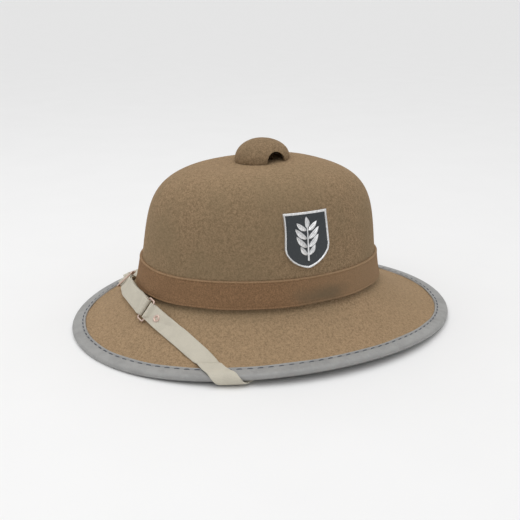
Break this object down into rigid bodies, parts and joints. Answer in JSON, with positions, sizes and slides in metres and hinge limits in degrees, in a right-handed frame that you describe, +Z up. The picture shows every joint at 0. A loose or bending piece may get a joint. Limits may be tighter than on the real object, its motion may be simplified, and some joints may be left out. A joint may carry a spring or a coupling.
{
  "type": "pith helmet",
  "caption": "Pressed-felt sun helmet with a round crown, sloping brim, cloth band, bound edge, top vent dome, side badge and buckled chin strap.",
  "frame": {"origin": "on the surface the helmet rests on, under the middle of its length and width", "axes": "+Z up through the vent dome, -Y to the wearer's front, +X to the wearer's left, where the badge is"},
  "size_m": [0.2844, 0.3414, 0.1569],
  "materials": {
    "felt": "matte pressed felt",
    "band_cloth": "matte cloth",
    "leatherette": "low sheen, grained",
    "webbing": "matte woven webbing",
    "copper": "satin copper wash",
    "silver": "satin pressed metal"
  },
  "bodies": {
    "root": {"shell": "felt", "edge_binding": "leatherette", "hat_band": "band_cloth", "vent_dome": "felt", "vent_post": "copper", "badge": "silver", "strap_left": "webbing", "strap_right": "webbing", "ring_slide": "copper", "keeper_slide": "copper", "strap_rivet": "copper"}
  },
  "joints": []
}
